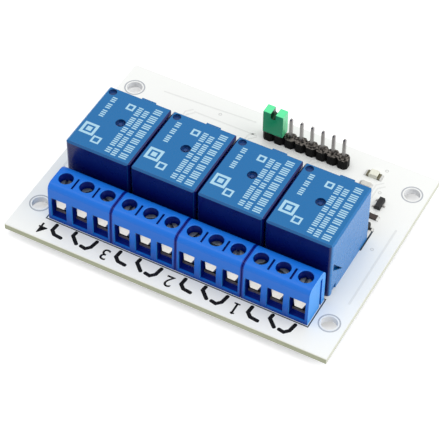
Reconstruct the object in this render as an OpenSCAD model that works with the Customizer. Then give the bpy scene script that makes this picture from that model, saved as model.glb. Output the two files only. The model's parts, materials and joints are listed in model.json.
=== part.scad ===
// Four-channel relay module: circuit board, relays, screw terminals, pin header and small parts.
// Millimetres. The origin is under the middle of the board, on the surface that the lead ends
// stand on. +X runs along the terminal edge towards channel 1, +Y to the pin header, +Z up.

/* [Board] */
// Length of the board along the terminal edge
board_w = 75; // [75:1:90]
// Depth of the board from the terminal edge to the header edge
board_d = 55; // [55:1:70]
// Thickness of the board
board_t = 1.6; // [1.2:0.2:2.0]
// How far the trimmed leads stand out under the board
lead_out = 2; // [1.6:0.1:2.5]
// Diameter of the four mounting holes
mount_d = 3.5; // [3.0:0.1:3.6]
// Distance between the mounting holes along the board
mount_x = 68; // [67.6:0.1:68.2]
// Distance between the mounting holes across the board
mount_y = 40; // [39:0.5:40]
// Distance from the terminal edge to the first row of mounting holes
mount_front = 8.5; // [8:0.25:9]

/* [Relays] */
// Distance from one relay to the next
relay_pitch = 15.5; // [15.4:0.1:15.8]
// Width of a relay case
relay_w = 15.1; // [14.8:0.1:15.2]
// Length of a relay case
relay_d = 18.6; // [18:0.1:19.2]
// Height of a relay case
relay_h = 15.2; // [14.5:0.1:16]
// Distance from the terminal edge of the board to the relays
relay_front = 14.5; // [14.2:0.1:15]

/* [Screw terminals] */
// Distance from one terminal block to the next
block_pitch = 15.15; // [15.1:0.05:15.3]
// Length of one block
block_w = 15; // [14.8:0.05:15.05]
// Depth of one block
block_d = 7.6; // [7.6:0.1:8]
// Height of one block
block_h = 10; // [10:0.1:10.5]
// Distance from one wire way to the next
pole_pitch = 5; // [4.95:0.01:5.02]
// Distance from the terminal edge of the board to the blocks
block_front = 5.8; // [5.5:0.1:6]
// Diameter of the screwdriver wells
well_d = 3.2; // [3.1:0.05:3.4]
// Travel of a wire guard from open to clamped
clamp_travel = 1.5; // [1.2:0.1:1.5]

/* [Header] */
// Distance from one header pin to the next
pin_pitch = 2.54; // [2.54]
// Number of header pins
pin_count = 8; // [8]
// Height of the pin tips above the board
pin_top = 8; // [7.8:0.1:8.5]
// Distance from the terminal edge of the board to the row of pins
pin_row = 49.2; // [49:0.1:50]

/* [Hidden] */
CHANNELS = [1:4];
POLES = [1:12];
$fn = 48;
tiny = 0.01;

board_top = lead_out + board_t;
front_edge = -board_d / 2;
row_centre = 0.13;

// Relay values
relay_y = front_edge + relay_front;
relay_round = 0.8;
relay_bevel = 0.4;
relay_rim = 0.6;
base_low = 0.3;
base_high = 1.5;
relay_pin = [1.0, 0.5];
relay_pin_places = [[-6, 2.6], [6, 2.6], [-6, 14.7], [6, 14.7], [0, 16.6]];

// Terminal block values, all from the block's own front and from the top of the board
block_y = front_edge + block_front;
knee_r = 1.5;
knee_y = 1.75;
heel_r = 2.3;
window_w = 3.7;
window_low = 0.8;
window_high = 6.4;
ledge_y = 1.6;
ledge_z = 1.3;
cavity_back = 6.9;
well_y = 3.65;
well_lip = 0.15;
sheet_t = 0.7;
contact_w = 3.4;
contact_front = 1.55;
thread_plate_front = 2.1;
thread_plate_z = 4.8;
screw_r = 1.25;
thread_gap = 0.05;
head_r = 1.45;
head_h = 1.15;
slot_w = 0.6;
slot_h = 0.65;
guard_t = 0.3;
guard_w = 3.2;
guard_z = 4.7;
lip_y = 0.7;
lip_z = 3.6;
lip_w = 1.6;
lip_top_w = 2.9;
lip_root = 1.5;
lip_low = 0.35;
block_pin = [1.0, 0.8];
tongue = [0.25, 0.9, 8.2];
tongue_y = 5.7;
joint_gap = 0.1;

// Header values
header_h = 2.5;
header_d = 2.5;
header_corner = 0.6;
pin_w = 0.64;
header_x = 54.8 - board_w / 2 - (pin_count - 1) * pin_pitch / 2;
header_y = front_edge + pin_row;

// Jumper values
cap_wall = 0.45;
cap_roof = 0.4;
cap_size = [4.8, 2.45, pin_top - header_h + joint_gap + cap_roof];
notch_r = 0.6;
notch_wall = 0.3;
notch_depth = 1;
clip_t = 0.22;
clip_h = 3.4;

// Small parts: place from the relay's middle and from the terminal edge of the board
transistor_place = [5.8, 42.4];
resistor_place = [6.0, 38.6];
diode_place = [5.4, 35.3];
led_place = [1.2, 42.7];
power_led_place = [62.0, 49.6];
power_resistor_place = [61.6, 46.4];

function channel_x(i, pitch) = row_centre + (2.5 - i) * pitch;
function relay_x(i) = channel_x(i, relay_pitch);
function pole_channel(k) = floor((k - 1) / 3) + 1;
function pole_x(k) = channel_x(pole_channel(k), block_pitch) + (1 - (k - 1) % 3) * pole_pitch;
function header_pin_x(k) = header_x + (k - (pin_count + 1) / 2) * pin_pitch;
function arc(c, r, from, to, n) =
    [for (i = [0:n]) let (a = from + (to - from) * i / n) c + r * [cos(a), sin(a)]];

// A square-cornered block centred in X and Y that stands on z = 0.
module slab(size) {
    translate([-size.x / 2, -size.y / 2, 0]) cube(size);
}

// A block with round upright corners, centred in X and Y, standing on z = 0.
module round_slab(size, r) {
    linear_extrude(size.z) {
        square([size.x - 2 * r, size.y], center = true);
        square([size.x, size.y - 2 * r], center = true);
        for (x = [-1, 1], y = [-1, 1])
            translate([x * (size.x / 2 - r), y * (size.y / 2 - r)]) circle(r);
    }
}

// An outline given as [y, z] points, extruded along X and centred on x = 0.
module along_x(width, points) {
    translate([-width / 2, 0, 0]) rotate([90, 0, 90]) linear_extrude(width) polygon(points);
}

// An outline given as [x, z] points, extruded along +Y from y = 0.
module along_y(depth, points) {
    translate([0, depth, 0]) rotate([90, 0, 0]) linear_extrude(depth) polygon(points);
}

// ---------------------------------------------------------------- board

module mount_holes() {
    for (x = [-1, 1], y = [0, 1])
        translate([x * mount_x / 2, front_edge + mount_front + y * mount_y, lead_out - tiny])
            cylinder(h = board_t + 2 * tiny, d = mount_d);
}

// Every lead hole: its place on the board and the size of the lead in it.
function lead_holes() = concat(
    [for (i = CHANNELS, p = relay_pin_places) [relay_x(i) + p.x, relay_y + p.y, relay_pin]],
    [for (k = POLES) [pole_x(k), block_y + well_y, block_pin]],
    [for (k = [1:pin_count]) [header_pin_x(k), header_y, [pin_w, pin_w]]]
);

function lead_hole_r(lead) = norm(lead) / 2 + 0.1;

module board() {
    color([0.93, 0.94, 0.96]) difference() {
        translate([0, 0, lead_out]) slab([board_w, board_d, board_t]);
        mount_holes();
        for (h = lead_holes())
            translate([h[0], h[1], lead_out - tiny])
                cylinder(h = board_t + 2 * tiny, r = lead_hole_r(h[2]));
    }
}

// The coned solder round each lead end, on the underside of the board.
module solder_joints() {
    foot_h = 0.2;
    cone_h = 0.9;
    color([0.72, 0.73, 0.75]) for (h = lead_holes()) let (r = lead_hole_r(h[2]))
        translate([h[0], h[1], lead_out]) mirror([0, 0, 1]) difference() {
            union() {
                cylinder(h = foot_h, r = r + 0.45);
                translate([0, 0, foot_h]) cylinder(h = cone_h, r1 = r + 0.35, r2 = r - 0.05);
            }
            translate([0, 0, -tiny]) slab([h[2].x, h[2].y, lead_out]);
        }
}

// ---------------------------------------------------------------- relays

// The outside of a relay case: round upright corners and bevelled top edges.
module relay_outside() {
    w = relay_w / 2;
    d = relay_d / 2;
    b = relay_bevel;
    intersection() {
        round_slab([relay_w, relay_d, relay_h], relay_round);
        translate([0, -d, 0]) along_y(relay_d,
            [[-w, 0], [w, 0], [w, relay_h - b], [w - b, relay_h], [b - w, relay_h], [-w, relay_h - b]]);
        along_x(relay_w,
            [[-d, 0], [d, 0], [d, relay_h - b], [d - b, relay_h], [b - d, relay_h], [-d, relay_h - b]]);
    }
}

// The locating rib that runs up the rear wall of a relay case.
module relay_rib() {
    rib_x = 1.75;
    rib_w = 3.3;
    rib_out = 0.5;
    translate([rib_x, relay_d / 2 - 0.2, 0]) slab([rib_w, 2 * rib_out + 0.2, relay_h - relay_bevel]);
}

// The round gate mark in the middle of the top, with its pip, and the small one at the corner.
module relay_marks() {
    gate_r = 1.1;
    gate_deep = 0.7;
    gate_y = 0.6;
    pip_r = 0.45;
    pip_h = 0.3;
    corner_r = 0.9;
    corner_deep = 0.5;
    corner_in = 1.5;
    translate([0, gate_y, relay_h - gate_deep]) difference() {
        cylinder(h = 1, r = gate_r);
        translate([0, 0, -tiny]) cylinder(h = pip_h, r = pip_r);
    }
    translate([corner_in - relay_w / 2, relay_d / 2 - corner_in, relay_h - corner_deep])
        cylinder(h = 1, r = corner_r);
}

// Moulded recesses low on the side walls: a deep wedge and a shallow foot notch.
module relay_side_recesses() {
    wedge_deep = 0.9;
    notch_deep = 0.3;
    wedge = [[1.2, 9], [1.2, 7], [6, 3]];
    notch = [[1.2, -1], [3, -1], [3, 1.6], [1.2, 1.6]];
    for (side = [-1, 1]) translate([side * relay_w / 2, -relay_d / 2, 0]) {
        along_x(2 * wedge_deep, wedge);
        along_x(2 * notch_deep, notch);
    }
}

module relay_base_space(low, high) {
    translate([0, 0, low])
        slab([relay_w - 2 * relay_rim, relay_d - 2 * relay_rim, high - low]);
}

module at_relay(i) {
    translate([relay_x(i), relay_y + relay_d / 2, board_top]) children();
}

module relay_case(i) {
    color([0.17, 0.42, 0.72]) at_relay(i) difference() {
        union() {
            relay_outside();
            relay_rib();
        }
        relay_marks();
        relay_side_recesses();
        relay_base_space(-tiny, base_high);
    }
}

module relay_pin_shapes(low, high) {
    for (p = relay_pin_places)
        translate([p.x, p.y - relay_d / 2, low]) slab([relay_pin.x, relay_pin.y, high - low]);
}

module relay_base(i) {
    color([0.10, 0.16, 0.30]) at_relay(i) difference() {
        relay_base_space(base_low, base_high);
        relay_pin_shapes(base_low - tiny, base_high + tiny);
    }
}

module relay_pins(i) {
    color([0.78, 0.78, 0.76]) at_relay(i) relay_pin_shapes(-board_top, base_high);
}

// ---------------------------------------------------------------- screw terminals

// Side outline of a block: upright foot, leaning front, round knee, flat top, round heel.
function block_outline() = concat(
    [[0, 0], [0, 2.5]],
    arc([knee_y, block_h - knee_r], knee_r, 168, 90, 5),
    arc([block_d - heel_r, block_h - heel_r], heel_r, 90, 0, 6),
    [[block_d, 0]]
);

module at_block(i) {
    translate([channel_x(i, block_pitch), block_y, board_top]) children();
}

// The stacking rail on the side of a block, and the groove that takes the next block's rail.
module stacking_rail(grow) {
    half = tongue.y / 2 + grow;
    neck = tongue.y / 3 + grow;
    translate([0, tongue_y, -tiny]) linear_extrude(tongue.z + grow)
        polygon([[tiny, -neck], [-tongue.x - grow, -half], [-tongue.x - grow, half], [tiny, neck]]);
}

// One wire way: window, chamber, ledge for the contact, screwdriver well and pin hole.
module wire_way() {
    along_x(window_w, [
        [-1, window_low], [-1, window_high], [cavity_back, window_high],
        [cavity_back, ledge_z], [ledge_y, ledge_z], [ledge_y, window_low]]);
    translate([0, well_y, window_high - tiny]) cylinder(h = block_h, d = well_d);
    translate([0, well_y, block_h - well_lip])
        cylinder(h = well_lip + tiny, r1 = well_d / 2, r2 = well_d / 2 + well_lip);
    translate([0, well_y, -tiny]) slab([block_pin.x, block_pin.y, ledge_z + 2 * tiny]);
}

module terminal_housing(i) {
    slit = [0.5, 3.1, 0.7];
    color([0.16, 0.43, 0.82]) at_block(i) difference() {
        union() {
            along_x(block_w, block_outline());
            translate([-block_w / 2, 0, tiny]) stacking_rail(0);
        }
        for (p = [-1, 0, 1]) translate([p * pole_pitch, 0, 0]) wire_way();
        for (x = [-0.5, 0.5])
            translate([x * pole_pitch, well_y - 0.5, block_h - slit.z]) slab(slit + [0, 0, 1]);
        translate([block_w / 2 + tiny, 0, 0]) stacking_rail(joint_gap);
        translate([0, well_y, -tiny]) underside_relief();
    }
}

// Shallow reliefs under the walls between the wire ways, which let flux wash out.
module underside_relief() {
    for (x = [-0.5, 0.5]) translate([x * pole_pitch, 0, 0]) slab([1.6, 4, 0.5]);
}

// A contact: bottom jaw with its solder pin, back wall, and the tapped plate under the well.
module contact() {
    jaw = ledge_z + sheet_t;
    plate = thread_plate_z + sheet_t;
    difference() {
        along_x(contact_w, [
            [contact_front, ledge_z], [cavity_back, ledge_z], [cavity_back, plate],
            [thread_plate_front, plate], [thread_plate_front, thread_plate_z],
            [cavity_back - sheet_t, thread_plate_z], [cavity_back - sheet_t, jaw],
            [contact_front, jaw]]);
        translate([0, well_y, thread_plate_z - tiny])
            cylinder(h = sheet_t + 2 * tiny, r = screw_r + thread_gap);
    }
    translate([0, well_y, -board_top])
        slab([block_pin.x, block_pin.y, board_top + ledge_z + tiny]);
}

module terminal_contacts(i) {
    color([0.80, 0.79, 0.74]) at_block(i)
        for (p = [-1, 0, 1]) translate([p * pole_pitch, 0, 0]) contact();
}

// A wire guard: the flat tongue under the screw's tip, and the lip that leans out to the window.
module wire_guard(k) {
    color([0.93, 0.92, 0.88]) translate([pole_x(k), block_y, board_top]) intersection() {
        along_x(guard_w, [
            [cavity_back - sheet_t - joint_gap, guard_z - guard_t],
            [cavity_back - sheet_t - joint_gap, guard_z],
            [lip_root, guard_z], [lip_y, lip_z], [lip_y + lip_low, lip_z - 0.15],
            [lip_root + lip_low / 2, guard_z - guard_t]]);
        linear_extrude(block_h) polygon([
            [guard_w / 2, cavity_back], [-guard_w / 2, cavity_back], [-guard_w / 2, lip_root + guard_t],
            [-lip_top_w / 2, lip_root], [-lip_w / 2, lip_y], [lip_w / 2, lip_y],
            [lip_top_w / 2, lip_root], [guard_w / 2, lip_root + guard_t]]);
    }
}

// A slotted clamp screw; its tip stands on the wire guard.
module terminal_screw(k) {
    head_z = thread_plate_z + sheet_t + clamp_travel + thread_gap;
    color([0.70, 0.70, 0.68]) translate([pole_x(k), block_y + well_y, board_top]) difference() {
        union() {
            translate([0, 0, guard_z]) cylinder(h = head_z - guard_z + tiny, r = screw_r);
            translate([0, 0, head_z]) cylinder(h = head_h - 0.2, r = head_r);
            translate([0, 0, head_z + head_h - 0.2])
                cylinder(h = 0.2, r1 = head_r, r2 = head_r - 0.2);
        }
        translate([0, 0, head_z + head_h - slot_h]) rotate(30 + k * 67) slab([4, slot_w, 1]);
    }
}

// ---------------------------------------------------------------- header and jumper

module at_header() {
    translate([header_x, header_y, board_top]) children();
}

module header_strip() {
    half = pin_pitch / 2;
    d = header_d / 2;
    c = header_corner;
    color([0.05, 0.05, 0.05]) difference() {
        for (k = [1:pin_count]) translate([header_pin_x(k), header_y, board_top])
            linear_extrude(header_h) polygon([
                [-half, c - d], [c - half, -d], [half - c, -d], [half, c - d],
                [half, d - c], [half - c, d], [c - half, d], [-half, d - c]]);
        for (k = [1:pin_count]) translate([header_pin_x(k), header_y, board_top - tiny])
            slab([pin_w, pin_w, header_h + 2 * tiny]);
    }
}

module header_pins() {
    tip_h = 0.35;
    end = 0.18;
    half = pin_w / 2;
    top = board_top + pin_top;
    outline = [[-end, 0], [end, 0], [half, tip_h], [half, top - tip_h],
               [end, top], [-end, top], [-half, top - tip_h], [-half, tip_h]];
    color([0.75, 0.74, 0.70]) for (k = [1:pin_count])
        translate([header_pin_x(k), header_y, 0]) intersection() {
            along_x(pin_w, outline);
            translate([0, -half, 0]) along_y(pin_w, outline);
        }
}

module at_jumper() {
    translate([header_x - (pin_count / 2 - 1) * pin_pitch, header_y, board_top + header_h])
        children();
}

// The insulating cap, open below, with the finger notch across its top.
module jumper_cap() {
    hollow = [cap_size.x - 2 * cap_wall, cap_size.y - 2 * cap_wall, cap_size.z - cap_roof];
    notch_z = cap_size.z - notch_depth;
    trough_w = 2 * (notch_r + notch_wall);
    color([0.08, 0.58, 0.40]) at_jumper() difference() {
        slab(cap_size);
        difference() {
            translate([0, 0, -tiny]) slab(hollow);
            translate([0, 0, notch_z - notch_r - notch_wall]) slab([trough_w, cap_size.y, cap_size.z]);
        }
        translate([0, cap_size.y, notch_z]) rotate([90, 0, 0]) cylinder(h = 2 * cap_size.y, r = notch_r);
        translate([0, 0, notch_z]) slab([2 * notch_r, 2 * cap_size.y, cap_size.z]);
    }
}

// The folded spring that joins the two pins inside the cap.
module jumper_clip() {
    wall_y = pin_w / 2 + clip_t / 2;
    color([0.75, 0.68, 0.45]) at_jumper() translate([0, 0, 0.4]) {
        for (s = [-1, 1]) translate([0, s * wall_y, 0]) slab([3.7, clip_t, clip_h]);
        slab([clip_t, pin_w + clip_t, clip_h]);
    }
}

// ---------------------------------------------------------------- small parts

module at_part(x, place) {
    translate([x + place.x, front_edge + place.y, board_top]) children();
}

module small_body(size, bevel) {
    w = size.x / 2;
    intersection() {
        slab(size);
        translate([0, -size.y, 0]) along_y(2 * size.y,
            [[-w, 0], [w, 0], [w, size.z / 2], [w - bevel, size.z], [bevel - w, size.z], [-w, size.z / 2]]);
    }
}

module driver_transistors() {
    color([0.12, 0.12, 0.12]) for (i = CHANNELS)
        at_part(relay_x(i), transistor_place) translate([0, 0, 0.1]) small_body([1.4, 2.9, 1.0], 0.15);
}

// Gull-wing leads: two on the left of each transistor and one on the right.
module transistor_leads() {
    color([0.78, 0.78, 0.78]) for (i = CHANNELS) at_part(relay_x(i), transistor_place)
        for (lead = [[-1, -0.95], [-1, 0.95], [1, 0]])
            translate([0, lead.y - 0.2, 0]) mirror([lead.x < 0 ? 1 : 0, 0, 0])
                along_y(0.4, [[0.7, 0.5], [0.95, 0.5], [1.05, 0.15], [1.3, 0.15],
                    [1.3, 0], [0.95, 0], [0.85, 0.35], [0.7, 0.35]]);
}

// A chip part: body, with end caps a little taller than the body.
module chip(size, cap) {
    slab([size.x - 2 * cap, size.y - 0.04, size.z - 0.05]);
    for (s = [-1, 1]) translate([s * (size.x - cap) / 2, 0, 0]) slab([cap, size.y, size.z]);
}

module flyback_diodes() {
    color([0.10, 0.10, 0.10]) for (i = CHANNELS) at_part(relay_x(i), diode_place) {
        translate([0, 0, 0.05]) small_body([2.7, 1.6, 1.1], 0.15);
        for (s = [-1, 1]) translate([s * 1.5, 0, 0]) slab([0.8, 0.6, 0.2]);
    }
}

module base_resistors() {
    color([0.30, 0.24, 0.20]) for (i = CHANNELS) {
        at_part(relay_x(i), resistor_place) chip([2.0, 1.25, 0.5], 0.35);
        at_part(relay_x(i), [led_place.x, resistor_place.y]) chip([2.0, 1.25, 0.5], 0.35);
    }
}

// A chip lamp: ceramic foot with end pads, and its clear moulded block.
module chip_lamp(size) {
    chip([size.x, size.y, 0.45], 0.45);
    translate([0, 0, 0.4 - tiny]) small_body([size.x - 1.1, size.y, size.z - 0.4], 0.2);
}

module channel_leds() {
    color([0.88, 0.85, 0.60]) for (i = CHANNELS)
        at_part(relay_x(i), led_place) chip_lamp([2.0, 1.25, 0.8]);
}

module power_led() {
    color([0.88, 0.86, 0.62]) at_part(-board_w / 2, power_led_place) chip_lamp([3.2, 1.6, 1.1]);
}

module power_resistor() {
    color([0.30, 0.24, 0.20]) at_part(-board_w / 2, power_resistor_place) chip([2.0, 1.25, 0.5], 0.35);
}

// ---------------------------------------------------------------- nodes

board();
for (i = CHANNELS) {
    relay_case(i);
    relay_base(i);
    relay_pins(i);
    terminal_housing(i);
    terminal_contacts(i);
}
for (k = POLES) {
    wire_guard(k);
    terminal_screw(k);
}
header_strip();
header_pins();
jumper_cap();
jumper_clip();
driver_transistors();
transistor_leads();
flyback_diodes();
base_resistors();
channel_leds();
power_led();
power_resistor();
solder_joints();
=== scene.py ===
"""Visible model of a four-channel relay module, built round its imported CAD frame."""

import json
import math

import bpy
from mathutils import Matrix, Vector


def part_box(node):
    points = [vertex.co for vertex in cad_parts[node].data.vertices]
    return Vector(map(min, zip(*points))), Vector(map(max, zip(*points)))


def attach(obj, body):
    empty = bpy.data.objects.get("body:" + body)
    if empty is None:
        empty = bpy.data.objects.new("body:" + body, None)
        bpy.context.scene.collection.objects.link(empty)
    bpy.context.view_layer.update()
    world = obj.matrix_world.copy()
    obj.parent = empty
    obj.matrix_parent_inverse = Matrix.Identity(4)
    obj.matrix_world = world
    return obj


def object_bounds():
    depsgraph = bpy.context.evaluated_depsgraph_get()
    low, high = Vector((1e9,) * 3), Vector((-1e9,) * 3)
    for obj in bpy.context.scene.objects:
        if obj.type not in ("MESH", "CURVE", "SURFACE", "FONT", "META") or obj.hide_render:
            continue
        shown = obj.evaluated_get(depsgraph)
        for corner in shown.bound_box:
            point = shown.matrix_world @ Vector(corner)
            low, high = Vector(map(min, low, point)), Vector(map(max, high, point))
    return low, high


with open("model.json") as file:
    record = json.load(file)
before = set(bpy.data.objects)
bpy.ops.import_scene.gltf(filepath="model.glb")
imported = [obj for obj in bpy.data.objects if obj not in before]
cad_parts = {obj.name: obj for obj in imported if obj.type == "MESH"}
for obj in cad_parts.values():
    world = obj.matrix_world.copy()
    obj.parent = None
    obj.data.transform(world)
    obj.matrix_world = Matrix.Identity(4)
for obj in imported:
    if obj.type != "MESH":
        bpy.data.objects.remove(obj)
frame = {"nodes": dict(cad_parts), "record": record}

bl_info = {
    "name": "Relay Module",
    "version": (1, 0, 0),
    "blender": (4, 5, 0),
    "location": "View3D > Sidebar > Relay Module",
    "description": "Finishes the board, relays, screw terminals and small parts of a relay module",
    "category": "Object",
}

MM = 0.001
CHANNELS = range(1, 5)
POLES = range(1, 13)
MOUNTS = {m["name"]: m for m in frame["record"]["mounts"]}
CAD_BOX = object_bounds()
BOARD_LOW, BOARD_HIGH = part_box("board")
BOARD_TOP = BOARD_HIGH.z
FRONT = BOARD_LOW.y
LEFT = BOARD_LOW.x


def middle(node):
    """The middle of a CAD node's box."""
    low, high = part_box(node)
    return (low + high) / 2


# ------------------------------------------------------------------ settings


def colour(name, description, default):
    return bpy.props.FloatVectorProperty(
        name=name, description=description, default=default, size=3, min=0, max=1, subtype="COLOR"
    )


def length(name, description, default):
    return bpy.props.FloatProperty(
        name=name, description=description, default=default, min=0, unit="LENGTH", precision=5
    )


def share(name, description, default):
    return bpy.props.FloatProperty(
        name=name, description=description, default=default, min=0, max=1, subtype="FACTOR"
    )


def level(name, description, default):
    return bpy.props.FloatProperty(name=name, description=description, default=default, min=0)


def angle(name, description, default):
    return bpy.props.FloatProperty(
        name=name, description=description, default=math.radians(default), subtype="ANGLE"
    )


class BoardSettings(bpy.types.PropertyGroup):
    """Colours of the bare board, and sizes of what is printed on it."""

    mask: colour("Solder mask", "White lacquer on both faces", (0.86, 0.872, 0.85))
    laminate: colour("Laminate", "Glass-epoxy that shows at the edges", (0.385, 0.405, 0.275))
    # The rim colour also serves as painted light on the left and right edges of the board.
    rim: colour("Rim", "Pale line where the lacquer meets the edge", (0.84, 0.85, 0.76))
    plating: colour("Plating", "Tin on the walls of the mounting holes", (0.86, 0.87, 0.88))
    silk: colour("Print", "Ink of the numbers and symbols", (0.004, 0.004, 0.006))
    # The outline colour also paints a shadow line at the foot of the first relay.
    outline: colour("Outlines", "Ink of the thin lines round the parts", (0.03, 0.05, 0.07))
    ring: colour("Rings", "Thin line round each mounting hole", (0.47, 0.49, 0.52))
    ring_gap: length("Ring reach", "From a hole's wall to the outside of its ring", 0.62 * MM)
    ring_width: length("Ring width", "Width of the ring", 0.32 * MM)
    ink_height: length("Ink height", "Thickness of the print", 0.02 * MM)
    symbol_width: length("Symbol width", "Width of the contact symbols' strokes", 0.84 * MM)
    symbol_pitch: length("Symbol pitch", "From one channel's symbols to the next", 15.36 * MM)
    line_width: length("Line width", "Width of the thin outlines", 0.26 * MM)
    bold_line: length("Bold line width", "Width of the bolder lines", 0.364 * MM)
    outline_gap: length("Outline gap", "From the blocks to the outline round them", 0.4 * MM)
    track_width: length("Track width", "Width of a raised track", 0.35 * MM)
    via_radius: length("Via radius", "Outside of a via's ring", 0.42 * MM)
    via_width: length("Via width", "Width of a via's ring", 0.2 * MM)
    number_size: length("Number size", "Font size of the channel numbers", 4.2 * MM)
    number_bold: length("Number weight", "How much bolder the numbers are than the font", 0.025 * MM)


class RelaySettings(bpy.types.PropertyGroup):
    """Finish of the relay cases and of their print."""

    case: colour("Case", "Moulded blue of the cases", (0.0, 0.13, 0.36))
    # Painted light and shade: the side colour paints light on the side walls, and the shade colour paints
    # shade on the end walls, in the gaps and in the recesses below the top.
    side: colour("Case sides", "Paler blue of the side walls", (0.022, 0.205, 0.55))
    shade: colour("Case ends", "Deeper blue of the end walls", (0.001, 0.004, 0.095))
    ink: colour("Print", "Pale print on the cases", (0.40, 0.64, 0.78))
    base: colour("Base", "Resin that seals the underside", (0.01, 0.02, 0.06))
    roughness: share("Roughness", "Roughness of the cases", 0.28)
    edge: length("Edge rounding", "Radius of the moulded edges", 0.16 * MM)


class TerminalSettings(bpy.types.PropertyGroup):
    """Finish of the terminal blocks and their metal parts."""

    housing: colour("Housing", "Moulded bright blue of the blocks", (0.008, 0.155, 0.66))
    # Painted light and shade: the side colour paints light on the side walls, and the inside colour paints
    # shade in the wire ways, the wells, the gaps between blocks and low on the front.
    side: colour("Sides", "Paler blue of the side walls", (0.04, 0.34, 0.92))
    inside: colour("Inside", "Deep blue of the wire ways and wells", (0, 0.014, 0.24))
    contact: colour("Contact", "Tinned brass strip", (0.36, 0.31, 0.27))
    guard: colour("Wire guard", "Bright spring strip", (0.90, 0.88, 0.84))
    screw: colour("Screw", "Dull plated steel", (0.25, 0.29, 0.32))
    roughness: share("Roughness", "Roughness of the housings", 0.3)
    edge: length("Edge rounding", "Radius of the moulded edges", 0.14 * MM)


class SmallPartSettings(bpy.types.PropertyGroup):
    """Finish of the header, the shunt and the chip parts."""

    strip: colour("Header strip", "Moulded black", (0.003, 0.003, 0.003))
    # Painted highlight: pale patches on the top of the header strip.
    strip_top: colour("Strip top", "Duller top of the header strip", (0.20, 0.18, 0.16))
    pin: colour("Pins", "Tinned pins and leads", (0.44, 0.42, 0.41))
    shunt: colour("Shunt", "Moulded light green", (0.12, 0.80, 0.36))
    # Painted shade: the side colour darkens the long sides and the notch colour darkens the finger notch.
    shunt_side: colour("Shunt sides", "Deeper green of the long sides", (0.0, 0.37, 0.165))
    shunt_notch: colour("Shunt notch", "Dark green of the finger notch", (0.001, 0.06, 0.02))
    clip: colour("Clip", "Spring bronze", (0.70, 0.52, 0.28))
    chip: colour("Chip", "Black moulding compound", (0.012, 0.012, 0.013))
    resistor: colour("Resistor", "Dark glaze", (0.05, 0.035, 0.03))
    ceramic: colour("Pale resistor", "Bare ceramic", (0.62, 0.61, 0.56))
    lamp: colour("Lamp", "Clear yellowish resin", (0.90, 0.90, 0.76))
    pad: colour("Lamp ends", "Dull plated ends of the power lamp", (0.17, 0.155, 0.085))
    solder: colour("Solder", "Bright solder", (0.68, 0.68, 0.66))


class StageSettings(bpy.types.PropertyGroup):
    """Floor, lights and camera."""

    floor: colour("Floor", "Pale floor", (0.88, 0.88, 0.89))
    floor_glow: level("Floor white", "How much whiter the floor shows to the camera", 0.30)
    sky_level: level("World level", "Strength of the light from all round", 0.69)
    key_power: level("Key power", "Power of the soft light from the right, in watts", 1.6)
    top_power: level("Top power", "Power of the soft light from above, in watts", 1.8)
    azimuth: angle("Azimuth", "Turn of the camera round the board", 27.693)
    elevation: angle("Elevation", "Height angle of the camera", 47.936)
    roll: angle("Roll", "Roll of the camera", 0.765)
    distance: length("Distance", "From the camera to its target", 406.128 * MM)
    lens: level("Lens", "Focal length in millimetres on a 36 mm sensor", 158.39)


SETTINGS = {
    "board": BoardSettings,
    "relays": RelaySettings,
    "terminals": TerminalSettings,
    "small_parts": SmallPartSettings,
    "stage": StageSettings,
}


class ModuleSettings(bpy.types.PropertyGroup):
    """All settings of the relay module."""

    board: bpy.props.PointerProperty(name="Board", type=BoardSettings)
    relays: bpy.props.PointerProperty(name="Relays", type=RelaySettings)
    terminals: bpy.props.PointerProperty(name="Terminals", type=TerminalSettings)
    small_parts: bpy.props.PointerProperty(name="Small parts", type=SmallPartSettings)
    stage: bpy.props.PointerProperty(name="Stage", type=StageSettings)


# ------------------------------------------------------------------ finishes


def scaled(base, factor):
    """A colour made darker, or paler up to white."""
    return [min(1, c * factor) for c in base]


class Value:
    """A socket of a material's node tree. Operators on it add Math nodes; | takes the larger."""

    def __init__(self, finish, socket):
        self.finish = finish
        self.socket = socket

    def math(self, operation, a, b):
        return self.finish.node("ShaderNodeMath", {"operation": operation}, {0: a, 1: b})

    def __add__(self, other):
        return self.math("ADD", self, other)

    def __sub__(self, other):
        return self.math("SUBTRACT", self, other)

    def __rsub__(self, other):
        return self.math("SUBTRACT", other, self)

    def __mul__(self, other):
        return self.math("MULTIPLY", self, other)

    def __rmul__(self, other):
        return self.math("MULTIPLY", other, self)

    def __or__(self, other):
        return self.math("MAXIMUM", self, other)

    def __gt__(self, other):
        return self.math("GREATER_THAN", self, other)

    def __lt__(self, other):
        return self.math("LESS_THAN", self, other)


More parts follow.
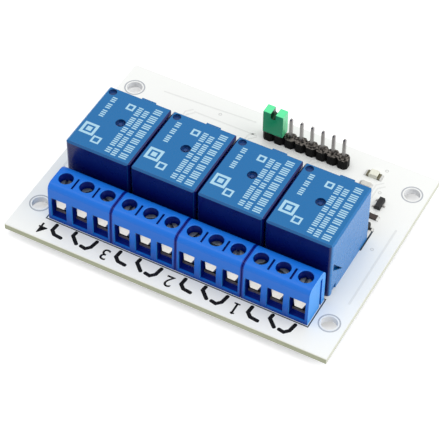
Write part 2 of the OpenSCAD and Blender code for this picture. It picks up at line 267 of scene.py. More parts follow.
class Finish:
    """A material with one Principled shader and the nodes that lead to it."""

    def __init__(self, name, base, roughness, metallic=0.0, **constants):
        self.material = bpy.data.materials.new(name)
        self.material.use_nodes = True
        self.tree = self.material.node_tree
        self.shader = self.tree.nodes["Principled BSDF"]
        self.set("Base Color", base)
        self.set("Roughness", roughness)
        self.set("Metallic", metallic)
        for socket, value in constants.items():
            self.set(socket.replace("_", " "), value)

    def fill(self, socket, value):
        if isinstance(value, Value):
            self.tree.links.new(value.socket, socket)
        elif hasattr(socket.default_value, "__len__") and len(socket.default_value) == 4:
            socket.default_value = (*tuple(value)[:3], 1.0)
        else:
            socket.default_value = value

    def set(self, name, value):
        """Gives a socket of the shader a constant, or links a value to it."""
        self.fill(self.shader.inputs[name], value)

    def node(self, kind, settings=None, inputs=None, output=0):
        """Adds a node, sets it up, fills its sockets and returns one of its outputs."""
        made = self.tree.nodes.new(kind)
        for key, value in (settings or {}).items():
            setattr(made, key, value)
        for key, value in (inputs or {}).items():
            self.fill(made.inputs[key], value)
        return Value(self, made.outputs[output])

    def place(self):
        """The x, y and z of the shaded point in the board's frame."""
        point = self.node("ShaderNodeTexCoord", output="Object")
        return [self.node("ShaderNodeSeparateXYZ", None, {0: point}, axis) for axis in "XYZ"]

    def within(self, low, high):
        """1 inside the box from low to high, and 0 outside."""
        inside = 1.0
        for value, start, end in zip(self.place(), low, high):
            inside = inside * (value > start) * (value < end)
        return inside

    def facing(self, axis):
        """1 on walls that face along this axis either way, 0 on walls that face across it."""
        normal = self.node("ShaderNodeNewGeometry", output="Normal")
        lean = self.node("ShaderNodeSeparateXYZ", None, {0: normal}, axis)
        return self.ramp(lean * lean, 0.35, 0.8)

    def gaps(self, first, second, half_width):
        """1 near the gaps of a row that starts with parts at these x and runs to -X, else 0."""
        x = self.place()[0]
        pitch = first - second
        away = x.math("PINGPONG", x - (first + second) / 2, pitch / 2)
        reach = (len(CHANNELS) - 1) * pitch
        ends = (x > first - reach) * (x < first)
        return (away < half_width) * ends

    def blend(self, amount, a, b):
        """Colour a where amount is 0 and colour b where it is 1."""
        return self.node("ShaderNodeMix", {"data_type": "RGBA"}, {0: amount, 6: a, 7: b}, output=2)

    def ramp(self, value, start, end):
        """0 up to start, 1 from end on."""
        return self.node("ShaderNodeMapRange", {"clamp": True}, {0: value, 1: start, 2: end})

    def noise(self, size, detail=2.0, stretch=(1, 1, 1)):
        """A noise whose grains are about size wide, times stretch."""
        point = self.node("ShaderNodeTexCoord", output="Object")
        turned = self.node("ShaderNodeMapping", None, {"Vector": point, "Scale": [1 / s for s in stretch]})
        return self.node(
            "ShaderNodeTexNoise", None, {"Vector": turned, "Scale": 1 / size, "Detail": detail}
        )

    def soften(self, radius, grain=None, depth=0.0):
        """Rounds the edges in the shading, with an optional fine grain."""
        normal = self.node("ShaderNodeBevel", {"samples": 4}, {"Radius": radius})
        if grain is not None:
            inputs = {"Strength": 0.3, "Distance": depth, "Height": grain, "Normal": normal}
            normal = self.node("ShaderNodeBump", None, inputs)
        self.set("Normal", normal)


def board_finish(s):
    """White lacquer on the faces; bare laminate with a pale rim on the edges, and painted light that makes
    the left and right edges paler.
    """
    finish = Finish("board_lacquer", s.mask, 0.32)
    _, _, z = finish.place()
    skin = 0.04 * MM
    edge = (z < BOARD_TOP - skin) * (z > BOARD_LOW.z + skin)
    near_top = finish.ramp(z, BOARD_TOP - 0.36 * MM, BOARD_TOP - 0.2 * MM)
    fibre = finish.noise(0.5 * MM, 3, (6, 6, 0.4))
    laminate = finish.blend(fibre, scaled(s.laminate, 0.78), scaled(s.laminate, 1.22))
    # Painted light: edges that face left or right are blended halfway towards the pale rim colour.
    side = finish.blend(finish.facing("X") * 0.55 | near_top, laminate, s.rim)
    margin = Vector((1, 1, -1)) * MM
    bored = finish.within(BOARD_LOW + margin, BOARD_HIGH - margin)
    wall = finish.blend(bored, side, s.plating)
    finish.set("Base Color", finish.blend(edge, s.mask, wall))
    finish.set("Roughness", edge * 0.35 + 0.3)
    finish.soften(0.08 * MM)
    return finish.material


def plastic(name, base, roughness, radius, gloss=0.35):
    """Moulded plastic: slightly uneven gloss, fine grain and softened edges."""
    finish = Finish(name, base, roughness, IOR=1.5, Specular_IOR_Level=gloss)
    patchy = finish.noise(3 * MM, 3)
    finish.set("Roughness", patchy * 0.12 + (roughness - 0.06))
    finish.soften(radius, finish.noise(0.12 * MM), 0.006 * MM)
    return finish


def moulded(name, base, roughness, radius):
    """The material alone of a moulded plastic."""
    return plastic(name, base, roughness, radius).material


def row_box(stem):
    """The box round a row of four parts."""
    last, first = (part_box(f"{stem}_{channel}") for channel in (CHANNELS[-1], CHANNELS[0]))
    return last[0], first[1]


def case_finish(s):
    """Relay case: painted light makes the side walls paler, and painted shade in deep blue covers the end
    walls, the gaps between the cases and the recessed marks and bevels below the top.
    """
    finish = plastic("relay_case_blue", s.case, s.roughness, s.edge, 0.4)
    low, high = row_box("relay_case")
    gap_half, mark_depth, top_skin = 0.5 * MM, 0.75 * MM, 0.06 * MM
    gaps = finish.gaps(middle("relay_case_1").x, middle("relay_case_2").x, gap_half)
    rim = Vector((0.6, 0.6, 0)) * MM
    # Painted shade in the recessed marks and the bevels just below the top.
    marks = finish.within(low + rim, high - rim) * finish.within(
        (low.x, low.y, high.z - mark_depth), (high.x, high.y, high.z - top_skin)
    )
    skin = Vector((-1, 0.6, -1)) * MM
    ends = finish.facing("Y") * (1 - finish.within(low + skin, high - skin))
    # Painted shade on the end walls, in the gaps between cases and in the recesses; painted light on the
    # paler side walls.
    painted_shade = ends | gaps | marks * 0.75
    top_with_painted_light_sides = finish.blend(finish.facing("X"), s.case, s.side)
    finish.set("Base Color", finish.blend(painted_shade, top_with_painted_light_sides, s.shade))
    return finish.material


def housing_finish(s):
    """Terminal block: bright outside with side walls made paler by painted light, and painted shade in
    deep blue in the openings, in the gaps between blocks and at the foot.
    """
    finish = plastic("terminal_blue", s.housing, s.roughness, s.edge, 0.25)
    low, high = row_box("terminal_housing")
    well = middle("terminal_screw_1").y
    skin, top_skin, gap_half = 0.45 * MM, 0.2 * MM, 0.36 * MM
    window_roof = low.z + 8.4 * MM
    ways = finish.within(low + Vector((skin, skin, skin)), (high.x - skin, high.y - skin, window_roof))
    reach = 1.8 * MM
    wells = finish.within(
        (low.x + skin, well - reach, window_roof - skin), (high.x - skin, well + reach, high.z - top_skin)
    )
    gaps = finish.gaps(block_x(1), block_x(2), gap_half)
    # Painted shade: the front walls darken towards the foot.
    foot_start, foot_end = low.z + 0.5 * MM, low.z + 7 * MM
    lower = 1 - finish.ramp(finish.place()[2], foot_start, foot_end)
    foot = lower * lower * finish.facing("Y") * 0.65
    # Painted shade in the wire ways, wells, gaps and at the foot, and painted light on the paler side
    # walls.
    outside = finish.blend(finish.facing("X"), s.housing, s.side)
    finish.set("Base Color", finish.blend(ways | wells | gaps | foot, outside, s.inside))
    return finish.material


def strip_finish(s):
    """Header strip: black, with painted highlight patches on its top."""
    finish = plastic("header_black", s.strip, 0.45, 0.1 * MM, 0.08)
    top = finish.place()[2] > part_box("header_strip")[1].z - 0.1 * MM
    # Painted highlight: noise patches on the top face take the paler colour.
    dull = finish.blend(finish.ramp(finish.noise(0.5 * MM), 0.4, 0.6), s.strip, s.strip_top)
    finish.set("Base Color", finish.blend(top, s.strip, dull))
    return finish.material


def shunt_finish(s):
    """Shunt: light green, with painted shade that darkens the long sides and the notch."""
    finish = plastic("shunt_green", s.shunt, 0.25, 0.12 * MM)
    low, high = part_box("jumper_cap")
    centre = (low.x + high.x) / 2
    side = finish.facing("Y")
    half, depth, skin = 0.65 * MM, 1.7 * MM, 0.1 * MM
    notch = finish.within(
        (centre - half, low.y - MM, high.z - depth), (centre + half, high.y + MM, high.z - skin)
    )
    notch = notch * (side < 0.5)
    # Painted shade on the long sides and in the notch.
    sides = finish.blend(side, s.shunt, s.shunt_side)
    finish.set("Base Color", finish.blend(notch, sides, s.shunt_notch))
    return finish.material


def lamp_finish(s):
    """Power lamp: clear resin between dull plated ends."""
    finish = resin("power_lamp_resin", s.lamp)
    x = finish.place()[0] - middle("power_led").x
    half_clear = 1.0 * MM
    finish.set("Base Color", finish.blend(x * x > half_clear**2, s.lamp, s.pad))
    return finish.material


def metal(name, base, roughness, radius=0.05 * MM):
    """Plated metal with faint dull patches."""
    finish = Finish(name, base, roughness, metallic=1.0)
    patchy = finish.noise(0.8 * MM, 4)
    finish.set("Roughness", patchy * 0.25 + (roughness - 0.1))
    finish.set("Base Color", finish.blend(patchy, scaled(base, 0.72), base))
    finish.soften(radius)
    return finish.material


def ink(name, base, roughness=0.55):
    """Screen ink with a faint unevenness."""
    finish = Finish(name, base, roughness, Specular_IOR_Level=0.15)
    worn = finish.noise(0.25 * MM, 2)
    finish.set("Base Color", finish.blend(worn * 0.5, base, scaled(base, 0.8)))
    return finish.material


def resin(name, base):
    """Clear tinted resin."""
    finish = Finish(name, base, 0.12, IOR=1.53, Transmission_Weight=0.15)
    finish.set("Base Color", finish.blend(finish.noise(0.7 * MM), base, scaled(base, 0.8)))
    finish.soften(0.08 * MM)
    return finish


def dress(material, *nodes):
    """Gives CAD nodes a material in place of the frame's own."""
    for node in nodes:
        slots = frame["nodes"][node].data.materials
        slots.clear()
        slots.append(material)


def numbered(stem, numbers):
    """The names of a row of nodes."""
    return [f"{stem}_{n}" for n in numbers]


# ------------------------------------------------------------------ modelling


def deselect():
    if bpy.context.object and bpy.context.object.mode != "OBJECT":
        bpy.ops.object.mode_set(mode="OBJECT")
    bpy.ops.object.select_all(action="DESELECT")


def pick(*pieces):
    """Selects these pieces alone; the last is the active one."""
    deselect()
    for piece in pieces:
        piece.select_set(True)
    bpy.context.view_layer.objects.active = pieces[-1]


def settle(piece):
    """Moves a piece's place, turn and scale into its mesh."""
    pick(piece)
    bpy.ops.object.transform_apply(location=True, rotation=True, scale=True)
    return piece


def select_points(piece, wanted):
    """Opens edit mode with the vertices selected whose place passes the test."""
    pick(piece)
    bpy.ops.object.mode_set(mode="EDIT")
    bpy.ops.mesh.select_mode(type="VERT")
    bpy.ops.mesh.select_all(action="DESELECT")
    bpy.ops.object.mode_set(mode="OBJECT")
    for v in piece.data.vertices:
        v.select = wanted(v.co)
    bpy.ops.object.mode_set(mode="EDIT")


def close_edit():
    bpy.ops.object.mode_set(mode="OBJECT")


def joined(name, pieces):
    """Joins pieces into one object at the origin."""
    pick(*pieces)
    if len(pieces) > 1:
        bpy.ops.object.join()
    piece = bpy.context.object
    piece.name = piece.data.name = name
    return piece


def copied(piece, name, offset):
    """A copy with its own mesh, moved by offset."""
    pick(piece)
    bpy.ops.object.duplicate(linked=False)
    copy = bpy.context.object
    copy.name = copy.data.name = name
    copy.location = offset
    return settle(copy)


def thicken(piece, height):
    """Gives a flat piece a thickness under its upper face."""
    pick(piece)
    solid = piece.modifiers.new("thickness", "SOLIDIFY")
    solid.thickness = height
    solid.offset = -1
    bpy.ops.object.modifier_apply(modifier=solid.name)
    return piece


def keep(piece, material):
    """Finishes a piece of the module: its material and its body."""
    piece.data.materials.clear()
    piece.data.materials.append(material)
    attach(piece, "module")
    deselect()


def plate(x, y, z, w, d):
    """A flat plate centred on x, y."""
    deselect()
    bpy.ops.mesh.primitive_plane_add(size=1, location=(x, y, z))
    piece = bpy.context.object
    piece.scale = (w, d, 1)
    return settle(piece)


def disc(x, y, z, r, corners=24):
    """A flat round plate."""
    deselect()
    bpy.ops.mesh.primitive_circle_add(vertices=corners, radius=r, fill_type="NGON", location=(x, y, z))
    return settle(bpy.context.object)


def hollowed(piece, width):
    """Leaves a border of this width of a flat plate."""
    pick(piece)
    bpy.ops.object.mode_set(mode="EDIT")
    bpy.ops.mesh.select_mode(type="FACE")
    bpy.ops.mesh.select_all(action="SELECT")
    bpy.ops.mesh.inset(thickness=width)
    bpy.ops.mesh.delete(type="FACE")
    close_edit()
    return piece


def stroke(path, width, z):
    """A flat line of even width through the points of path, with round ends.

    Each leg is drawn out to its far end, which turns by half of the bend there and widens with it.
    """
    points = [Vector((x, y, z)) for x, y in path]
    legs = [b - a for a, b in zip(points, points[1:])]
    headings = [math.atan2(leg.y, leg.x) for leg in legs]
    deselect()
    bpy.ops.mesh.primitive_plane_add(size=width, location=points[0], rotation=(0, 0, headings[0]))
    piece = settle(bpy.context.object)
    ahead = legs[0].normalized()
    select_points(piece, lambda co: (co - points[0]).dot(ahead) > 0)
    at = points[0] + ahead * width / 2
    facing, spread = headings[0], 1.0
    for i, corner in enumerate(points[1:]):
        last = i == len(legs) - 1
        half_turn = 0 if last else math.remainder(headings[i + 1] - headings[i], math.tau) / 2
        target = corner + legs[i].normalized() * width / 2 if last else corner
        if i == 0:
            bpy.ops.transform.translate(value=target - at)
        else:
            bpy.ops.mesh.extrude_region_move(TRANSFORM_OT_translate={"value": target - at})
        turn = headings[i] + half_turn - facing
        bpy.ops.transform.rotate(value=-turn, orient_axis="Z", center_override=target)
        wider = 1 / math.cos(half_turn) / spread
        bpy.ops.transform.resize(value=(wider, wider, 1), center_override=target)
        at, facing, spread = target, facing + turn, spread * wider
    close_edit()
    ends = (points[0], points[-1])
    select_points(piece, lambda co: min((co - end).length for end in ends) < 0.8 * width)
    bpy.ops.mesh.bevel(offset=0.42 * width, segments=3, affect="VERTICES")
    close_edit()
    return piece


def flat_number(text, x, y, z, size, bold):
    """A number that reads from the rear edge, centred on x, y."""
    deselect()
    bpy.ops.object.text_add(location=(x, y, z), rotation=(0, 0, math.pi))
    piece = bpy.context.object
    piece.data.body = text
    piece.data.size = size
    piece.data.offset = bold
    piece.data.align_x = "CENTER"
    piece.data.align_y = "CENTER"
    bpy.ops.object.convert(target="MESH")
    return settle(bpy.context.object)


# ------------------------------------------------------------------ the board


def block_x(channel):
    """The middle of a terminal block is its middle screw."""
    return middle(f"terminal_screw_{3 * channel - 1}").x


class RELAYMODULE_OT_board(bpy.types.Operator):
    """Lacquer the board and ring its mounting holes"""

    bl_idname = "relay_module.board"
    bl_label = "Board"

    def execute(self, context):
        s = context.scene.relay_module.board
        dress(board_finish(s), "board")
        dims = MOUNTS["mounting_holes"]["dims"]
        centre = MOUNTS["mounting_holes"]["pos_m"]
        radius = dims["hole_r_mm"] * MM
        rings = []
        for sx in (-1, 1):
            for sy in (-1, 1):
                x = centre[0] + sx * dims["spacing_x_mm"] * MM / 2
                y = centre[1] + sy * dims["spacing_y_mm"] * MM / 2
                outer = disc(x, y, BOARD_TOP + s.ink_height, radius + s.ring_gap, 48)
                rings.append(hollowed(outer, s.ring_width))
        piece = thicken(joined("mount_rings", rings), s.ink_height)
        keep(piece, ink("ring_line", s.ring))
        return {"FINISHED"}


class RELAYMODULE_OT_print(bpy.types.Operator):
    """Print the channel numbers, the contact symbols and the part outlines, and paint a shadow line beside
    the first relay
    """

    bl_idname = "relay_module.print"
    bl_label = "Board print"

    # In mm: across from the middle of the first block, and back from the terminal edge. The
    # symbols repeat at a pitch of their own, and the numbers at the pitch of the blocks.
    HOOK = [(-4.35, 4.8), (-4.5, 3.2), (-3.55, 2.3), (-1.85, 2.1)]
    BEND = [(0.25, 4.9), (0.12, 3.9), (1.8, 2.3)]
    CUP = [(3.0, 2.25), (4.1, 2.05), (5.0, 2.95), (5.35, 4.8)]
    NUMBER = (-7.3, 2.8)
    # The foot and the flag of the figure 1, which the font has no bars for.
    FOOT = [(-7.85, 4.1), (-6.85, 4.1)]
    FLAG = [(-7.55, 1.5), (-6.95, 1.5)]
    # The painted shadow line at the foot of the first relay's side: how far from its side, then its ends
    # along the side.
    RELAY_LINE = (0.12, 14.6, 20.6)

    def execute(self, context):
        s = context.scene.relay_module.board
        z = BOARD_TOP + s.ink_height
        black = ink("print_black", s.silk)
        symbols, numbers = [], []
        first = block_x(CHANNELS[0])
        for channel in CHANNELS:
            x = first - (channel - CHANNELS[0]) * s.symbol_pitch
            for symbol in (self.HOOK, self.BEND, self.CUP):
                path = [(x + u * MM, FRONT + v * MM) for u, v in symbol]
                symbols.append(stroke(path, s.symbol_width, z))
            u, v = self.NUMBER
            x = block_x(channel) + u * MM
            numbers.append(flat_number(str(channel), x, FRONT + v * MM, z, s.number_size, s.number_bold))
        for bar in (self.FOOT, self.FLAG):
            path = [(first + u * MM, FRONT + v * MM) for u, v in bar]
            numbers.append(stroke(path, s.bold_line, z))
        keep(thicken(joined("contact_symbols", symbols), s.ink_height), black)
        keep(thicken(joined("channel_numbers", numbers), s.ink_height), black)

        low, high = row_box("terminal_housing")
        centre, size = (low + high) / 2, high - low
        reach = 2 * s.outline_gap
        outer = plate(centre.x, centre.y, z, size.x + reach, size.y + reach)
        thin = [hollowed(outer, s.line_width)]
        # Painted shadow: a dark line along the foot of the first relay's side, drawn in the outline ink.
        relay_low, relay_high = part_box(f"relay_case_{CHANNELS[0]}")
        away, start, end = (v * MM for v in self.RELAY_LINE)
        side = relay_high.x + away
        path = [(side, relay_low.y + start), (side, relay_low.y + end)]
        thin.append(stroke(path, s.bold_line, z))
        outlines = thicken(joined("outlines_and_shadow_line", thin), s.ink_height)
        keep(outlines, ink("outline_and_shadow_ink", s.outline))
        return {"FINISHED"}


# Places of the small parts: across from the relay's middle, and back from the terminal edge, in mm.
TRANSISTOR = (5.8, 42.4)
RESISTORS = ((6.0, 38.6), (1.2, 38.6))
DIODE = (5.4, 35.3)
CHANNEL_LAMP = (1.2, 42.7)


class RELAYMODULE_OT_tracks(bpy.types.Operator):
    """Lay the tracks that show through the lacquer, and the small round vias"""

    bl_idname = "relay_module.tracks"
    bl_label = "Tracks"

    # All in mm. Bent tracks: across from the transistor, and how far behind it they bend.
    BENDS = ((-2.4, 4.2), (-3.1, 5.0))
    # How far behind the transistor's middle they start, and how far across and back they slant.
    BENT_START = 1.2
    SLANT = 1.2
    # Short tracks: how far behind the resistor's middle they start, and how far before the
    # transistor's middle they end.
    SHORT_START = 1.0
    SHORT_END = 1.8
    # Long tracks: their start from the left edge and behind the header's middle, and then their
    # end, short of the header's left end and behind its middle.
    LONG_RUNS = ((10, 1.4, 3.5, 2.6), (19, -1.0, 1.5, -1.0))
    # Side tracks: in from the side edges, width, from the terminal edge, and past the relays.
    SIDE_INSET = 2.2
    SIDE_WIDTH = 0.5
    SIDE_START = 15
    SIDE_END = 4
    # Vias: from the left edge and from the terminal edge.
    VIAS = ((65.2, 45.7), (63.9, 52.2), (70.6, 30.4), (24.3, 50.2))

    def execute(self, context):
        s = context.scene.relay_module.board
        z = BOARD_TOP + s.ink_height
        relay_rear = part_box("relay_case_1")[1].y
        header = middle("header_strip")
        runs = []
        for channel in CHANNELS:
            x = middle(f"relay_case_{channel}").x
            base = FRONT + TRANSISTOR[1] * MM
            for across, back in self.BENDS:
                start = (x + (TRANSISTOR[0] + across) * MM, base + self.BENT_START * MM)
                bend = (start[0], base + back * MM)
                end = (start[0] + self.SLANT * MM, bend[1] + self.SLANT * MM)
                runs.append(stroke([start, bend, end], s.track_width, z))
            foot = (x + RESISTORS[0][0] * MM, FRONT + (RESISTORS[0][1] + self.SHORT_START) * MM)
            runs.append(stroke([foot, (foot[0], base - self.SHORT_END * MM)], s.track_width, z))
        strip_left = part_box("header_strip")[0].x
        for start, start_back, end, end_back in self.LONG_RUNS:
            path = [
                (LEFT + start * MM, header.y + start_back * MM),
                (strip_left - end * MM, header.y + end_back * MM),
            ]
            runs.append(stroke(path, s.track_width, z))
        inset = self.SIDE_INSET * MM
        for side in (LEFT + inset, BOARD_HIGH.x - inset):
            path = [(side, FRONT + self.SIDE_START * MM), (side, relay_rear + self.SIDE_END * MM)]
            runs.append(stroke(path, self.SIDE_WIDTH * MM, z))
        tracks = thicken(joined("raised_tracks", runs), s.ink_height)
        keep(tracks, ink("track_lacquer", scaled(s.mask, 0.93), 0.35))

        dots = []
        for x, y in self.VIAS:
            outer = disc(LEFT + x * MM, FRONT + y * MM, z, s.via_radius, 16)
            dots.append(hollowed(outer, s.via_width))
        vias = thicken(joined("vias", dots), s.ink_height)
        keep(vias, ink("via_line", scaled(s.mask, 0.8)))
        return {"FINISHED"}


# ------------------------------------------------------------------ relays


class RELAYMODULE_OT_relays(bpy.types.Operator):
    """Finish the relay cases and print plain marks on their tops"""

    bl_idname = "relay_module.relays"
    bl_label = "Relays"

    # All in mm. Rows of upright bars: across, start along the case, height, bars in each group.
    ROWS = (
        (5.35, 1.3, 1.75, (3, 4, 3, 4, 3, 4, 3)),
        (3.25, 1.2, 1.15, (4, 6, 3, 6, 4)),
        (1.7, 1.5, 1.15, (3, 7, 3, 5, 5)),
        (-4.7, 9.8, 1.1, (4, 3, 3)),
    )
    # Width of a bar, step to the next bar, and what is added to it after a group.
    BAR = 0.32
    STEP = 0.57
    GAP = 0.4
    # Square outlines: across, along the case, size and border.
    SQUARES = ((-4.9, 5.4, 3.3, 0.6), (-2.0, 3.2, 2.0, 0.42), (-0.4, 14.9, 1.8, 0.42))
    # Side of the solid square in the middle of the first outline, and thickness of the ink.
    CORE = 1.2
    INK_HEIGHT = 0.015

    def execute(self, context):
        s = context.scene.relay_module.relays
        dress(case_finish(s), *numbered("relay_case", CHANNELS))
        dress(moulded("relay_base_resin", s.base, 0.6, s.edge), *numbered("relay_base", CHANNELS))
        low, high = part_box(f"relay_case_{CHANNELS[0]}")
        centre = (low + high) / 2
        thickness = self.INK_HEIGHT * MM
        z = high.z + thickness
        marks = []
        for across, start, height, groups in self.ROWS:
            y = low.y + start * MM
            for bars in groups:
                for _ in range(bars):
                    marks.append(plate(centre.x + across * MM, y, z, height * MM, self.BAR * MM))
                    y += self.STEP * MM
                y += self.GAP * MM
        for across, back, size, border in self.SQUARES:
            at = (centre.x + across * MM, low.y + back * MM, z)
            marks.append(hollowed(plate(*at, size * MM, size * MM), border * MM))
        across, back = self.SQUARES[0][:2]
        at = (centre.x + across * MM, low.y + back * MM, z)
        marks.append(plate(*at, self.CORE * MM, self.CORE * MM))
        print_1 = thicken(joined("relay_print_1", marks), thickness)
        pale = ink("relay_ink", s.ink, 0.45)
        for channel in CHANNELS[1:]:
            offset = middle(f"relay_case_{channel}") - centre
            copy = copied(print_1, f"relay_print_{channel}", (offset.x, 0, 0))
            keep(copy, pale)
        keep(print_1, pale)
        return {"FINISHED"}


# ------------------------------------------------------------------ terminals


class RELAYMODULE_OT_terminals(bpy.types.Operator):
    """Finish the terminal blocks, their contacts, wire guards and screws"""

    bl_idname = "relay_module.terminals"
    bl_label = "Terminals"

    def execute(self, context):
        s = context.scene.relay_module.terminals
        dress(housing_finish(s), *numbered("terminal_housing", CHANNELS))
        dress(metal("contact_strip", s.contact, 0.42), *numbered("terminal_contacts", CHANNELS))
        dress(metal("guard_strip", s.guard, 0.38), *numbered("wire_guard", POLES))
        dress(metal("screw_plating", s.screw, 0.3), *numbered("terminal_screw", POLES))
        return {"FINISHED"}


# ------------------------------------------------------------------ header and small parts


class RELAYMODULE_OT_small_parts(bpy.types.Operator):
    """Finish the header, the shunt, the chip parts and their solder"""

    bl_idname = "relay_module.small_parts"
    bl_label = "Small parts"

    # All in mm. Length and width of a chip, and height of its solder; then the same of a diode.
    CHIP = (2.0, 1.25, 0.4)
    LEADS = (3.8, 0.8, 0.25)
    # How far the solder reaches out, and how far it reaches under the end.
    REACH = 0.5
    UNDER = 0.02

    def execute(self, context):
        s = context.scene.relay_module.small_parts
        dress(strip_finish(s), "header_strip")
        dress(metal("pin_tin", s.pin, 0.32), "header_pins", "transistor_leads")
        dress(metal("lead_tin", s.pin, 0.36), *numbered("relay_pins", CHANNELS))
        dress(shunt_finish(s), "jumper_cap")
        dress(metal("clip_bronze", s.clip, 0.3), "jumper_clip")
        dress(moulded("chip_black", s.chip, 0.5, 0.05 * MM), "driver_transistors", "flyback_diodes")
        dress(moulded("resistor_glaze", s.resistor, 0.3, 0.05 * MM), "base_resistors")
        dress(moulded("resistor_ceramic", s.ceramic, 0.4, 0.05 * MM), "power_resistor")
        dress(resin("lamp_resin", s.lamp).material, "channel_leds")
        dress(lamp_finish(s), "power_led")
        dress(metal("joint_solder", s.solder, 0.25), "solder_joints")
        self.fillets(s)
        return {"FINISHED"}

    def fillet(self, x, y, w, reach, height, side):
        """A wedge of solder at the end of a chip: side is +1 for its right end."""
        deselect()
        centre = (x + side * reach / 2, y, BOARD_TOP + height / 2)
        bpy.ops.mesh.primitive_cube_add(size=1, location=centre)
        piece = bpy.context.object
        piece.scale = (reach, w, height)
        settle(piece)
        outer = x + side * reach * 0.6
        top = BOARD_TOP + height * 0.9
        select_points(piece, lambda co: (co.x - outer) * side > 0 and co.z > top)
        bpy.ops.transform.translate(value=(0, 0, -0.75 * height))
        close_edit()
        select_points(piece, lambda co: co.z > top)
        bpy.ops.mesh.bevel(offset=0.1 * height, segments=2, affect="EDGES")
        close_edit()
        return piece

    def fillets(self, s):
        wedges = []
        parts = []
        for channel in CHANNELS:
            x = middle(f"relay_case_{channel}").x
            for (across, back), (part_l, part_w, height) in (
                (RESISTORS[0], self.CHIP),
                (RESISTORS[1], self.CHIP),
                (CHANNEL_LAMP, self.CHIP),
                (DIODE, self.LEADS),
            ):
                at = (x + across * MM, FRONT + back * MM)
                parts.append((*at, part_l * MM, part_w * MM, height * MM))
        for node in ("power_led", "power_resistor"):
            low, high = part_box(node)
            centre = (low + high) / 2
            height = self.CHIP[2] * MM
            parts.append((centre.x, centre.y, high.x - low.x, high.y - low.y, height))
        for x, y, part_l, part_w, height in parts:
            for side in (-1, 1):
                end = x + side * (part_l / 2 - self.UNDER * MM)
                wedges.append(self.fillet(end, y, part_w, self.REACH * MM, height, side))
        piece = joined("solder_fillets", wedges)
        keep(piece, metal("fillet_solder", s.solder, 0.3))


# ------------------------------------------------------------------ stage


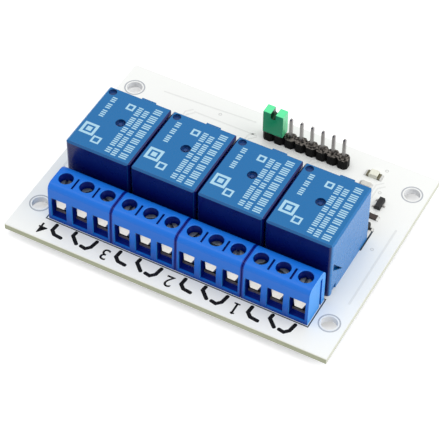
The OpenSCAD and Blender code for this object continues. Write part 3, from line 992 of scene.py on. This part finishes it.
class RELAYMODULE_OT_stage(bpy.types.Operator):
    """Set up the floor, the lights, the world and the camera"""

    bl_idname = "relay_module.stage"
    bl_label = "Stage"

    # In metres: the place of each soft light, and how wide it is.
    KEY_LIGHT = ((0.55, 0.12, 0.42), 0.5)
    TOP_LIGHT = ((-0.05, -0.06, 0.7), 0.6)
    # What the camera looks at on the board's face, in mm from the middle.
    TARGET = (1.599, -5.001)
    # Side of the floor, and the nearest and farthest that the camera sees, in metres.
    FLOOR_SIZE = 4
    SIGHT = (0.01, 20)

    def shown(self, tree):
        """1 for a camera, glossy or transmission ray, and 0 for a ray that only lights."""
        rays = tree.nodes.new("ShaderNodeLightPath")
        total = rays.outputs["Is Camera Ray"]
        for name in ("Is Glossy Ray", "Is Transmission Ray"):
            highest = tree.nodes.new("ShaderNodeMath")
            highest.operation = "MAXIMUM"
            tree.links.new(total, highest.inputs[0])
            tree.links.new(rays.outputs[name], highest.inputs[1])
            total = highest.outputs[0]
        return total

    def floor(self, s):
        deselect()
        below = CAD_BOX[0].z - 0.01 * MM
        bpy.ops.mesh.primitive_plane_add(size=self.FLOOR_SIZE, location=(0, 0, below))
        floor = settle(bpy.context.object)
        floor.name = "floor"
        finish = Finish("floor_paper", s.floor, 0.9, Specular_IOR_Level=0.2)
        glow = finish.blend(Value(finish, self.shown(finish.tree)), (0, 0, 0), (1, 1, 1))
        finish.set("Emission Color", glow)
        finish.set("Emission Strength", s.floor_glow)
        floor.data.materials.append(finish.material)

    def world(self, s):
        world = bpy.data.worlds.new("studio")
        bpy.context.scene.world = world
        world.use_nodes = True
        tree = world.node_tree
        light = tree.nodes["Background"]
        light.inputs["Strength"].default_value = s.sky_level
        light.inputs["Color"].default_value = (1, 1, 1, 1)
        seen = tree.nodes.new("ShaderNodeBackground")
        seen.inputs["Strength"].default_value = 1
        seen.inputs["Color"].default_value = (1, 1, 1, 1)
        mix = tree.nodes.new("ShaderNodeMixShader")
        tree.links.new(self.shown(tree), mix.inputs[0])
        tree.links.new(light.outputs[0], mix.inputs[1])
        tree.links.new(seen.outputs[0], mix.inputs[2])
        tree.links.new(mix.outputs[0], tree.nodes["World Output"].inputs["Surface"])

    def lamp(self, name, place, size, power):
        deselect()
        bpy.ops.object.light_add(type="AREA", location=place)
        lamp = bpy.context.object
        lamp.name = name
        lamp.data.shape = "SQUARE"
        lamp.data.size = size
        lamp.data.energy = power
        aim = Vector((0, 0, BOARD_TOP)) - lamp.location
        lamp.rotation_euler = aim.to_track_quat("-Z", "Y").to_euler()

    def camera(self, s):
        x, y = self.TARGET
        target = Vector((x * MM, y * MM, BOARD_TOP))
        flat = math.cos(s.elevation)
        back = Vector((math.sin(s.azimuth) * flat, -math.cos(s.azimuth) * flat, math.sin(s.elevation)))
        deselect()
        bpy.ops.object.camera_add(location=target + back * s.distance)
        camera = bpy.context.object
        camera.name = "camera"
        camera.rotation_euler = (-back).to_track_quat("-Z", "Y").to_euler()
        camera.rotation_euler.rotate_axis("Z", s.roll)
        camera.data.sensor_width = 36
        camera.data.lens = s.lens
        camera.data.clip_start, camera.data.clip_end = self.SIGHT
        bpy.context.scene.camera = camera

    def execute(self, context):
        s = context.scene.relay_module.stage
        self.floor(s)
        self.world(s)
        self.lamp("key_light", *self.KEY_LIGHT, s.key_power)
        self.lamp("top_light", *self.TOP_LIGHT, s.top_power)
        self.camera(s)
        context.scene.view_settings.view_transform = "Standard"
        return {"FINISHED"}


OPERATORS = (
    RELAYMODULE_OT_board,
    RELAYMODULE_OT_print,
    RELAYMODULE_OT_tracks,
    RELAYMODULE_OT_relays,
    RELAYMODULE_OT_terminals,
    RELAYMODULE_OT_small_parts,
    RELAYMODULE_OT_stage,
)


class RELAYMODULE_PT_panel(bpy.types.Panel):
    """Lists the steps that finish the relay module, and their settings"""

    bl_idname = "RELAYMODULE_PT_panel"
    bl_label = "Relay Module"
    bl_space_type = "VIEW_3D"
    bl_region_type = "UI"
    bl_category = "Relay Module"

    def draw(self, context):
        for operator in OPERATORS:
            self.layout.operator(operator.bl_idname)
        for group_name, group in SETTINGS.items():
            box = self.layout.box()
            box.label(text=group_name.replace("_", " ").capitalize())
            settings = getattr(context.scene.relay_module, group_name)
            for field in group.__annotations__:
                box.prop(settings, field)


CLASSES = (*SETTINGS.values(), ModuleSettings, *OPERATORS, RELAYMODULE_PT_panel)


def register():
    for cls in CLASSES:
        bpy.utils.register_class(cls)
    bpy.types.Scene.relay_module = bpy.props.PointerProperty(type=ModuleSettings)


def unregister():
    del bpy.types.Scene.relay_module
    for cls in reversed(CLASSES):
        bpy.utils.unregister_class(cls)


def main():
    register()
    for operator in OPERATORS:
        group, name = operator.bl_idname.split(".")
        getattr(getattr(bpy.ops, group), name)()


if __name__ == "__main__":
    main()
